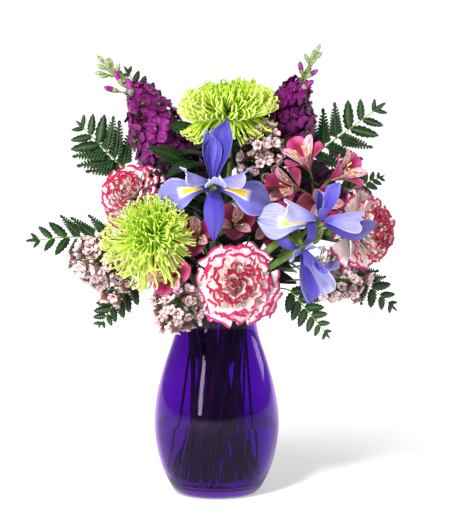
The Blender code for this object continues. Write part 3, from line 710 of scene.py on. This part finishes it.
stock = {
    "petal": ((0.4, 0, 0.8), (3, 2.4, 2.4), (6.5, 3.8, 4.6), (10, 3.8, 6), (13, 2.4, 5.2), (14.2, 1, 2.8)),
    "bud": ((0, 6, 2.6), (0, 9, 3.3), (0, 13, 3.2), (0, 16.5, 2.2), (0, 18.5, 0.6)),
    "calyx": ((0, 0, 1.1), (0, 2, 2.4), (0, 6, 3.1), (0, 9.5, 3.2), (0, 11.5, 2.6)),
    "eye": ((0, 0, 0.8), (0, 2.5, 1.4), (0, 4, 1.1), (0, 4.8, 0.4)),
    "whorls": ((5, -4, 1.0, 0), (4, 26, 0.8, 0.8), (3, 52, 0.55, 1.2)),  # petals, tilt, size, lift
    "stem": 3.2,
    # more: extra florets, set into the gaps below and beside each spike as painted shade
    "spikes": {
        "stock_left": dict(route=((-44, 34, 312), (-54, 34, 345), (-63, 32, 374), (-78, 30, 400),
                                  (-103, 28, 424)),
                           ring=0, angle=120, radius=27, florets=28,
                           more=((-74, 28, 374), (-62, 34, 356), (-30, 40, 351), (-24, 44, 336),
                                 (-38, 44, 330), (-20, 36, 322), (-46, 36, 318))),
        "stock_right": dict(route=((66, 38, 322), (70, 38, 352), (74, 36, 382), (82, 34, 406), (94, 32, 428)),
                            ring=0, angle=0, radius=23, florets=26,
                            more=((80, 8, 306), (64, 10, 316), (98, 12, 300), (74, 14, 328),
                                  (56, 22, 300), (44, 30, 322),
                                  (108, 14, 313), (118, 12, 296), (94, 18, 322), (104, 6, 282),
                                  (86, 0, 290))),
    },
    # place, way it points, size, depth of colour, 1 for a coloured bud and 0 for a green one
    "buds": {
        "stock_left": (((-84, 27, 396), (-0.25, -0.3, 1), 1.15, 0.2, 1),
                       ((-94, 22, 408), (-0.5, -0.3, 1), 0.95, 0.9, 1),
                       ((-98, 22, 402), (-1, -0.5, 0.35), 0.9, 0.0, 1),
                       ((-100, 26, 420), (0.25, -0.3, 1), 0.75, 0.2, 0),
                       ((-106, 28, 424), (-0.6, -0.2, 1), 0.8, 0.2, 0),
                       ((-108, 26, 426), (-0.2, -0.5, 1), 0.7, 0.2, 0),
                       ((-110, 28, 424), (-1, -0.2, 0.5), 0.8, 0.2, 0),
                       ((-112, 25, 420), (-1, -0.4, 0.1), 0.7, 0.2, 0),
                       ((-108, 24, 418), (-0.9, -0.6, -0.1), 0.7, 0.2, 0),
                       ((-104, 30, 426), (-0.5, 0.6, 1), 0.8, 0.2, 0),
                       ((-112, 30, 430), (-0.9, 0.2, 0.9), 0.75, 0.2, 0),
                       ((-96, 34, 412), (-0.1, 0.8, 0.6), 0.9, 0.3, 1)),
        "stock_right": (((84, 26, 404), (0.7, -0.5, 0.5), 1.0, 0.1, 1),
                        ((90, 28, 416), (0.9, -0.4, 0.6), 0.8, 0.0, 1),
                        ((86, 30, 418), (-0.2, -0.5, 1), 0.85, 0.4, 1),
                        ((94, 30, 428), (0.7, -0.3, 1), 0.75, 0.2, 0),
                        ((95, 30, 430), (0.1, -0.5, 1), 0.75, 0.2, 0),
                        ((93, 32, 430), (-0.5, -0.2, 1), 0.75, 0.2, 0),
                        ((98, 32, 434), (0.9, 0.1, 0.8), 0.75, 0.2, 0),
                        ((96, 34, 434), (0.3, 0.5, 1), 0.75, 0.2, 0),
                        ((100, 31, 440), (0.4, -0.2, 1), 0.7, 0.2, 0),
                        ((90, 38, 418), (0.3, 0.9, 0.5), 0.9, 0.4, 1)),
    },
}


def makeStocks():
    finish = stockFinish()
    palegreen = plainFinish("budGreen", tint(112, 130, 80), tint(164, 174, 126), 300)
    purple = plainFinish("budPurple", tint(96, 8, 76), tint(158, 40, 140), 200)
    petals = [sheet("floret", finish, stock["petal"], 4, -0.1, 1.8, crumple=2.6, seed=seed, thick=0.45)
              for seed in range(1, 6)]
    eye = quill("eye", palegreen, stock["eye"], 6)
    bud, calyx = quill("bud", purple, stock["bud"], 8), quill("budCalyx", palegreen, stock["calyx"], 8)
    for name, spec in stock["spikes"].items():
        chance = random.Random(len(name) + 5)
        points = [Vector(p) for p in spec["route"]]
        parts = []
        for number in range(spec["florets"] + len(spec["more"])):
            share = (number + 0.5) / spec["florets"]
            along = min(share, 1) * 3.1
            stretch = min(int(along), 2)
            first, last = points[stretch], points[stretch + 1]
            way = (last - first).normalized()
            centre = first + way * (last - first).length * (along - stretch)
            side = way.cross(Vector((0, 1, 0))).normalized()
            turn = math.radians(number * goldenTurn)
            outward = side * math.cos(turn) + side.cross(way) * math.sin(turn)
            swell = math.sin(math.pi * (0.2 + 0.72 * min(share, 1))) ** 0.85
            size = (1.4 - 0.5 * share) * chance.uniform(0.85, 1.12)
            stray = Vector([chance.uniform(-0.6, 0.6) for _ in range(3)])
            facing = outward + way * (0.2 + 0.35 * share) + stray
            spot = centre + outward * spec["radius"] * swell * chance.uniform(0.55, 0.85)
            place = standAt(spot, facing) @ spin(chance.uniform(0, 360)) @ sized(size)
            deep = chance.uniform(0, 0.8)
            # the extra florets face the camera and take the deepest tone: painted shade in the gaps of the
            # spike
            if share > 1:
                facing = (chance.uniform(-0.4, 0.4), -1, chance.uniform(0, 0.8))
                place = standAt(spec["more"][number - spec["florets"]], facing) @ sized(1.2)
                deep = 1
            for count, tilt, reach, lift in stock["whorls"]:
                for step in range(count):
                    swing = 360 * step / count + 31 * count + chance.uniform(-12, 12)
                    spot = place @ Matrix.Translation((0, 0, lift * mm)) @ spin(swing)
                    spot = spot @ spin(tilt + chance.uniform(-18, 18), "X") @ sized(reach)
                    # the inner whorls take a deeper tone: painted shade in the heart of each floret
                    parts.append(lay(chance.choice(petals), spot, min(1, deep + 0.25 * (3 - count) + 0.2)))
            parts.append(lay(eye, place @ Matrix.Translation((0, 0, 2 * mm)), 0.5))
        settle(joinAs(name + ".flowers", parts), "stock_magenta", name + "_flowers")
        parts = []
        for place, facing, size, tone, coloured in stock["buds"][name]:
            spot = standAt(place, facing) @ sized(size)
            parts.append(lay(calyx, spot, tone))
            if coloured:
                parts.append(lay(bud, spot, tone))
            else:
                parts.append(lay(bud, spot @ sized(0.8), tone))
                parts[-1].data.materials.clear()
                parts[-1].data.materials.append(palegreen)
        settle(joinAs(name + ".buds", parts), "stalk_green", name + "_bud_tip")
        route = stalkRoute(points[0], points[1] - points[0], spec["ring"], spec["angle"]) + points[1:]
        parts = [stalk("stem", greenStem, route, stock["stem"], 0.6)]
        for place, facing, size, tone, coloured in stock["buds"][name]:
            near = min((a.lerp(b, t / 6) for a, b in zip(points, points[1:]) for t in range(7)),
                       key=lambda p: (p - Vector(place) + Vector((0, 0, 12))).length)
            middle = (near + Vector(place)) / 2 + Vector((0, 0, -2))
            parts.append(stalk("pedicel", greenStem, (near, middle, Vector(place)), 0.9))
        settleStem(name, parts)


makeStocks()
print("stocks done")


# alstroemeria: three broad outer petals and three narrow streaked ones, with stamens

lily = {
    "outer": ((1.5, 0, 1), (4.5, 8, 3.2), (8.5, 16, 7), (12.5, 22, 10.4), (17, 26.5, 11.2),
              (21.5, 29.5, 8.6), (24, 30.6, 2.4)),
    "inner": ((1.2, 0, 0.8), (3.6, 8, 2), (6.6, 16, 4), (10, 23, 6), (14, 29, 6.2), (18.5, 33, 4),
              (20.5, 34.2, 0.9)),
    "stamen": ((0, 0, 0.35), (1.5, 10, 0.35), (4, 20, 0.35), (7, 26, 0.35), (8, 27.2, 1.0),
               (9, 28.6, 1.0), (9.6, 29.6, 0.3)),
    "stem": 2.4,
    "umbels": {
        "alstroemeria_right": dict(umbel=(96, -4, 288), ring=1, angle=310, size=0.95, flowers=(
            ((92, -18, 326), (-0.3, -0.6, 0.75), 0.1), ((112, -12, 316), (0.75, -0.5, 0.5), 0.1),
            ((82, -22, 308), (-0.6, -0.75, 0.15), 0.6), ((99, -26, 297), (0.15, -0.95, 0.0), 0.85))),
        "alstroemeria_center": dict(umbel=(14, -14, 256), ring=1, angle=262, size=0.88, flowers=(
            ((17, -30, 272), (0.1, -0.85, 0.3), 0.85), ((-16, -38, 262), (-0.2, -0.9, 0.2), 0.3),
            ((49, -12, 272), (0.1, -0.95, 0.1), 0.8))),
        "alstroemeria_low": dict(umbel=(-32, -52, 224), ring=2, angle=190, size=1.0, flowers=(
            ((-38, -64, 230), (-0.3, -0.95, 0.1), 0.0),)),
    },
}


def makeLilies():
    outer = [sheet("lilyOuter", lilyFinish("lilyOuter", False), lily["outer"], 6, 0.3, 0.7,
                   crumple=0.5, seed=seed) for seed in (2, 6)]
    inner = [sheet("lilyInner", lilyFinish("lilyInner", True), lily["inner"], 6, 0.35, 0.4,
                   crumple=0.3, seed=seed) for seed in (3, 9)]
    cream = plainFinish("stamenCream", tint(226, 186, 96), tint(240, 214, 150), 900)
    stamen = quill("stamen", cream, lily["stamen"], 5)
    for name, spec in lily["umbels"].items():
        umbel = Vector(spec["umbel"])
        mean = sum((Vector(f[1]) for f in spec["flowers"]), Vector()).normalized()
        route = stalkRoute(umbel, mean * 0.4 + Vector((0, 0, 1)), spec["ring"], spec["angle"])
        stems = [stalk("stem", greenStem, route, lily["stem"])]
        for number, (throat, facing, tone) in enumerate(spec["flowers"], 1):
            chance = random.Random(number + len(name))
            axis = Vector(facing).normalized()
            base = standAt(throat, facing) @ spin(15 * number) @ sized(spec["size"])
            parts = []
            for kinds, offset, low, high, deep in ((outer, 90, -8, 5, tone), (inner, 30, -4, 4, tone * 0.6)):
                for step in range(3):
                    spot = base @ spin(120 * step - offset) @ spin(chance.uniform(low, high), "X")
                    parts.append(lay(kinds[step % 2], spot, deep))
            parts += [lay(stamen, base @ spin(72 * step) @ spin(chance.uniform(0, 10), "X"))
                      for step in range(5)]
            settle(joinAs(f"{name}.flower{number}", parts), "lily_rose", f"{name}_flower_{number}")
            end, start = Vector(throat) - axis * 0.5, umbel - Vector((0, 0, 2.5))
            pull = 0.35 * (end - start).length
            route = bend(start, start + Vector((0, 0, pull * 0.5)), end - axis * pull, end, 4)
            stems.append(stalk("pedicel", greenStem, route, 1.4))
        settleStem(name, stems)


makeLilies()
print("alstroemeria done")


# wax flower: sprays of tiny cups and round buds on forked twigs

wax = {
    "petal": ((1.4, 2.2, 1.0), (2.6, 3.2, 1.9), (3.8, 4.4, 2.1), (4.8, 5.2, 1.2)),
    "cup": ((0, -2.6, 0.7), (0, -1.0, 1.5), (0, 1.2, 2.2), (0, 2.6, 2.4), (0, 2.0, 1.6), (0, 1.4, 0.5)),
    "bud": ((0, -1.6, 0.6), (0, 0, 1.5), (0, 1.8, 1.9), (0, 3.2, 1.4), (0, 4, 0.4)),
    "needle": ((0, 0, 0.3), (2.5, 0.6, 0.7), (6, 1.2, 0.8), (9.5, 1.2, 0.15)),
    "stem": 1.3, "open": 0.78,  # the share of the cups that are open
    "sprays": {
        "wax_left": dict(fork=(-78, -34, 234), ring=3, angle=164, spread=(-0.75, -0.5, 0.1), reach=68,
                         cups=110),
        "wax_bottom": dict(fork=(-26, -62, 210), ring=3, angle=222, spread=(-0.4, -0.7, -0.45), reach=50,
                           cups=60),
        "wax_top": dict(fork=(46, -8, 322), ring=1, angle=340, spread=(0.02, -0.4, 0.9), reach=50, cups=56),
        "wax_right": dict(fork=(88, -6, 216), ring=3, angle=310, spread=(0.92, -0.36, 0.05), reach=60,
                          cups=66, lift=0.0),
        "wax_back": dict(fork=(50, 66, 252), ring=3, angle=20, spread=(0.4, 0.8, 0.35), reach=46, cups=40),
    },
}


def makeWax():
    blush = waxFinish("waxBlush", tint(236, 218, 218), tint(190, 146, 152))
    heart = plainFinish("waxHeart", tint(84, 38, 36), tint(140, 98, 84), 900)
    petal = sheet("waxPetal", blush, wax["petal"], 2, 0.3, smooth=0, thick=0.35)
    cup, bud = quill("waxCup", heart, wax["cup"], 7), quill("waxBud", blush, wax["bud"], 6)
    green = leafFinish("waxNeedle", tint(30, 62, 26), tint(78, 110, 46), tint(96, 128, 60))
    needle = sheet("needle", green, wax["needle"], 2, 0.2, smooth=0, thick=0.4)
    petals = [lay(petal, spin(72 * step)) for step in range(5)]
    bloom = joinAs("waxBloom", petals + [lay(cup, sized(1.5, 1.5, 1.1))])
    patterns.append(bloom)
    bloom.data.attributes.remove(bloom.data.attributes["tone"])
    for name, spec in wax["sprays"].items():
        chance = random.Random(len(name) + spec["cups"])
        fork, spread = Vector(spec["fork"]), Vector(spec["spread"]).normalized()
        route = stalkRoute(fork, spread + Vector((0, 0, spec.get("lift", 0.6))), spec["ring"], spec["angle"])
        route.append(fork + spread * spec["reach"] * 0.6)
        parts = [stalk("trunk", greenStem, route, wax["stem"], 0.7)]
        side = spread.cross(Vector((0, 0, 1))).normalized()
        over = side.cross(spread)
        for number in range(spec["cups"]):
            share = (number + 0.5) / spec["cups"]
            turn = number * 2.39996  # the golden turn in radians
            lean = side * math.cos(turn) + over * math.sin(turn)
            start = fork + spread * spec["reach"] * 0.5 * share
            wide = spec["reach"] * (0.66 - 0.42 * share) * chance.uniform(0.35, 1.0)
            ahead = spread * spec["reach"] * (0.2 + 0.3 * share) * chance.uniform(0.6, 1.2)
            end = start + ahead + lean * wide
            middle = start.lerp(end, 0.55) + spread * 3
            parts.append(stalk("twig", greenStem, (start, middle, end), 0.6, sides=0))
            facing = (end - middle).normalized() + Vector([chance.uniform(-0.6, 0.6) for _ in range(3)])
            spot = standAt(end, facing) @ spin(chance.uniform(0, 72))
            size = chance.uniform(0.95, 1.25)
            shape = bloom if chance.random() < wax["open"] else bud
            parts.append(lay(shape, spot @ sized(size), chance.uniform(0, 1)))
            for _ in range(2):
                at = middle.lerp(end, chance.uniform(0, 0.8))
                spot = standAt(at, end - middle) @ spin(chance.uniform(0, 360))
                spot = spot @ spin(chance.uniform(20, 60), "X") @ sized(chance.uniform(0.7, 1.1))
                parts.append(lay(needle, spot, chance.uniform(0, 1)))
                spot = standAt(at + facing * 3.5, facing) @ sized(0.75)
                parts.append(lay(bud, spot, chance.uniform(0, 1)))
        settle(joinAs(name + ".spray", parts), "wax_blush", name + "_spray")


makeWax()
print("wax flowers done")


# leatherleaf fern: toothed side leaves in pairs, the lower ones cut into leaflets of their own

fern = {
    "blade": ((0, 0, 0.5), (2.5, 0.4, 3.4), (5, 0.7, 2.9), (7.5, 0.9, 4.4), (10, 1.0, 3.6),
              (12.5, 1.0, 4.5), (15, 1.0, 3.4),
              (17.5, 0.8, 3.8), (20, 0.6, 2.6), (22.5, 0.4, 2.6), (25, 0, 1.4), (27, -0.4, 0.3)),
    "leaflet": ((0, 0, 0.5), (2, 0.2, 1.7), (4.5, 0.4, 2.2), (7, 0.3, 1.9), (9, 0, 0.5)),
    "stem": 1.2, "arch": 6.0,
    "fronds": {
        "fern_left_top": dict(base=(-60, 68, 370), tip=(-94, 62, 426), width=22, normal=(0, -1, 0),
                              ring=2, angle=118),
        "fern_left": dict(base=(-94, 52, 322), tip=(-142, 40, 372), width=40, normal=(0, -1, 0.1), ring=2,
                          angle=134, pairs=6),
        "fern_left_low": dict(base=(-104, 8, 256), tip=(-190, -8, 254), width=34,
                              normal=(-0.1, -0.8, 0.6), ring=3, angle=128, pairs=6),
        "fern_lower_left": dict(base=(-84, -20, 212), tip=(-116, -40, 172), width=22,
                                normal=(-0.4, -0.85, 0.1), ring=3, angle=146),
        "fern_right_top": dict(base=(96, 52, 334), tip=(171, 44, 390), width=40, normal=(0, -1, 0.1),
                               ring=2, angle=5, pairs=6),
        "fern_right": dict(base=(128, 42, 298), tip=(170, 40, 316), width=16, normal=(0, -1, 0.2), ring=3,
                           angle=352),
        "fern_right_low": dict(base=(128, 18, 226), tip=(180, -8, 184), width=26, normal=(0.2, -0.9, 0.4),
                               ring=3, angle=338),
        "fern_lower_right": dict(base=(74, -18, 206), tip=(112, -44, 162), width=20,
                                 normal=(0.1, -0.95, 0.1), ring=3, angle=324),
        "fern_back": dict(base=(14, 78, 322), tip=(22, 122, 376), width=36, normal=(0, 0.7, -0.7), ring=2,
                          angle=45, pairs=7),
        "fern_back_low": dict(base=(-56, 62, 226), tip=(-104, 110, 190), width=32,
                              normal=(-0.3, 0.4, 0.85), ring=2, angle=85),
    },
}


def leafPlace(at, way, normal, length):  # +Y along way, +Z towards the normal
    forward = way.normalized()
    across = forward.cross(Vector(normal)).normalized()
    turned = Matrix((across, forward, across.cross(forward))).transposed().to_4x4()
    return Matrix.Translation(Vector(at) * mm) @ turned @ sized(length)


def makeFerns():
    green = leafFinish("fernGreen", tint(6, 28, 8), tint(30, 66, 20), tint(58, 96, 40))
    blade = sheet("fernBlade", green, fern["blade"], 2, -0.25, crumple=0.3, seed=2, smooth=0, thick=0.35)
    leaflet = sheet("leaflet", green, fern["leaflet"], 2, -0.25, smooth=0, thick=0.35)
    cut = [lay(leaflet, leafPlace((0, 23.5, 0), Vector((0, 1, 0)), (0, 0, 1), 0.5))]
    for pair in range(9):
        share = pair / 9
        for sign in (-1, 1):
            way = Vector((sign, 0.8, 0))
            foot = (0, 2.5 + 22 * share + 0.8 * sign, 0)
            cut.append(lay(leaflet, leafPlace(foot, way, (0, 0, 1), 0.5 * (1 - share) ** 0.5 + 0.12)))
    cut.append(lay(blade, sized(0.3, 1.0, 1.0)))
    cutBlade = joinAs("cutBlade", cut)
    cutBlade.data.attributes.remove(cutBlade.data.attributes["tone"])
    patterns.append(cutBlade)
    for name, spec in fern["fronds"].items():
        chance = random.Random(len(name) + spec["angle"])
        base, tip, normal = Vector(spec["base"]), Vector(spec["tip"]), Vector(spec["normal"]).normalized()
        way = (tip - base).normalized()
        route = stalkRoute(base, way + Vector((0, 0, 0.4)), spec["ring"], spec["angle"])
        pairs = spec.get("pairs", 6)
        wide = 1.2 if spec["width"] > 30 else 1.55  # small fronds have broader blades
        rib = [base.lerp(tip, t / 12) + normal * fern["arch"] * math.sin(math.pi * t / 12) for t in range(13)]
        parts = [stalk("rib", greenStem, route + rib[1:], fern["stem"], 0.35, sides=1)]
        side = way.cross(normal).normalized()
        for pair in range(pairs):
            share = pair / pairs
            reach = spec["width"] * (1 - share) ** 0.8 * (0.75 + 0.9 * share * (1 - share)) * 1.2 + 3
            at = base.lerp(tip, share) + normal * fern["arch"] * math.sin(math.pi * share)
            for sign in (-1, 1):
                out = side * sign + way * chance.uniform(0.65, 0.9) + normal * chance.uniform(-0.25, 0.15)
                pattern = cutBlade if share < 0.45 and spec["width"] > 24 else blade
                foot = at + way * (2 if sign > 0 else 0)
                spot = leafPlace(foot, out, normal, reach / 27) @ sized(wide, 1, 1)
                parts.append(lay(pattern, spot, chance.uniform(0, 0.8)))
        parts.append(lay(blade, leafPlace(rib[-3], way, normal, (tip - rib[-3]).length / 27), 0.3))
        settle(joinAs(name + ".frond", parts), "fern_green", name)


makeFerns()
print("ferns done")


# broad leaves among the stalks, which close the gaps between the flowers; their near-black green is partly
# painted shade inside the bouquet

greens = {"blade": ((0, 0, 0.8), (6, 2, 4), (14, 4, 7.5), (24, 4.5, 9), (34, 3, 8), (44, -1, 4.6),
                    (50, -4, 0.8)),
          "count": 150, "low": 206, "high": 350, "stem": 3.0,
          "stalks": (196, 212, 232, 252, 288, 308, 326, 344, 30, 80, 130, 160)}


def makeGreens():
    # near-black green: partly the leaves' own colour, partly painted shade in the heart of the bouquet
    finish = leafFinish("broadLeafAndShade", tint(8, 24, 10), tint(26, 54, 22), tint(50, 78, 34))
    blade = sheet("broadBlade", finish, greens["blade"], 4, 0.12, 0.8, crumple=0.6, seed=4)
    chance = random.Random(21)
    parts = []
    for number in range(greens["count"]):
        share = (number + 0.5) / greens["count"]
        turn = math.radians(number * goldenTurn)
        height = greens["low"] + (greens["high"] - greens["low"]) * share
        outward = Vector((math.cos(turn), math.sin(turn) * 0.7, 0))
        around = (12 + 34 * math.sin(math.pi * share)) * chance.uniform(0.3, 1.0)
        at = Vector((10, 6, height)) + Vector((outward.x * 1.7, outward.y * 0.8, 0)) * around
        way = outward + Vector((0, 0, chance.uniform(-0.2, 0.9)))
        tilted = Vector((chance.uniform(-0.5, 0.5), -chance.uniform(0, 1.2), 1))
        spot = leafPlace(at, way, tilted, chance.uniform(0.7, 1.15))
        parts.append(lay(blade, spot, chance.uniform(0, 0.7)))
    for turn in greens["stalks"]:
        foot, neck = math.radians(turn), math.radians(180 - turn + chance.uniform(-15, 15))
        low = Vector((40 * math.cos(foot), 40 * math.sin(foot), 15 + chance.uniform(0, 8)))
        high = Vector((26 * math.cos(neck), 26 * math.sin(neck), 172))
        route = (low, low.lerp(high, 0.5), high, high.lerp(Vector((10, 6, 240)), 0.6))
        parts.append(stalk("leafStalk", finish, route, greens["stem"]))
    settle(joinAs("broadLeavesAndShade", parts), "fern_green")


makeGreens()
print("leaves done")

for pattern in patterns:
    bpy.data.objects.remove(pattern)
clearPicks()


# room, lights and camera

room = {"nearGlow": 0.38, "farGlow": 0.84, "ambient": 0.28, "backdrop": 1.0, "reach": 4}


def makeRoom():
    finish = Finish("paleFloor", 0.8)
    finish.colour = finish.ramp(finish.grain(3), ((0.3, (0.84, 0.84, 0.85, 1)), (0.7, (0.86, 0.86, 0.86, 1))))
    finish.shader.inputs["Emission Strength"].default_value = 1.0
    place = finish.node("TexCoord").outputs["Object"]
    away = finish.node("VectorMath", {"Vector": place}, operation="LENGTH").outputs["Value"]
    glow = finish.ramp(finish.sum("DIVIDE", away, room["reach"]),
                       ((0.045, room["nearGlow"]), (0.14, room["farGlow"])))
    finish.tree.links.new(glow, finish.shader.inputs["Emission Color"])
    clearPicks()
    bpy.ops.mesh.primitive_plane_add(size=30, location=(0, 0, -0.0006))
    floor = bpy.context.object
    floor.name = "floor"
    floor.data.materials.append(finish.done(finish.grain(40), 0.02))
    world = bpy.data.worlds.new("studio")
    bpy.context.scene.world = world
    world.use_nodes = True
    nodes, links = world.node_tree.nodes, world.node_tree.links
    back = nodes["Background"]
    back.inputs["Color"].default_value = (1, 1, 1, 1)
    path = nodes.new("ShaderNodeLightPath")
    # the room is white where the camera sees it, and dimmer where the glass mirrors it
    level = nodes.new("ShaderNodeMapRange")
    level.inputs["To Min"].default_value = room["backdrop"]
    level.inputs["To Max"].default_value = room["ambient"]
    links.new(path.outputs["Is Reflection Ray"], level.inputs["Value"])
    links.new(level.outputs["Result"], back.inputs["Strength"])


lights = {
    "key": dict(place=(-0.8, -1.85, 1.8), size=(0.4, 0.4), power=76, seen=False),
    "strip": dict(place=(-0.82, -1.42, 0.62), size=(0.22, 0.95), power=13, seen=True),
    "rim": dict(place=(1.5, 0.9, 0.9), size=(0.6, 1.2), power=10, seen=True),
}


def makeLights():
    for name, spec in lights.items():
        bpy.ops.object.light_add(type="AREA", location=spec["place"])
        lamp = bpy.context.object
        lamp.name = name
        lamp.data.shape = "RECTANGLE"
        lamp.data.size, lamp.data.size_y = spec["size"]
        lamp.data.energy = spec["power"]
        lamp.visible_glossy = spec["seen"]
        lamp.visible_camera = False
        aim = Vector((0.0, 0.0, 0.24)) - Vector(spec["place"])
        lamp.rotation_euler = aim.to_track_quat("-Z", "Y").to_euler()


camera = {"target": (0.009, 0, 0.238), "distance": 2.3, "elevation": 7.0, "halfHeight": 0.257}


def makeCamera():
    rise = math.radians(camera["elevation"])
    back = Vector((0, -math.cos(rise), math.sin(rise)))
    bpy.ops.object.camera_add(location=Vector(camera["target"]) + back * camera["distance"])
    eye = bpy.context.object
    eye.rotation_euler = (-back).to_track_quat("-Z", "Y").to_euler()
    eye.data.sensor_width = 36
    eye.data.lens = 18 * camera["distance"] / camera["halfHeight"]
    eye.data.dof.use_dof = False
    bpy.context.scene.camera = eye
    bpy.context.scene.view_settings.view_transform = "Standard"


makeRoom()
makeLights()
makeCamera()
print("room, lights and camera done")
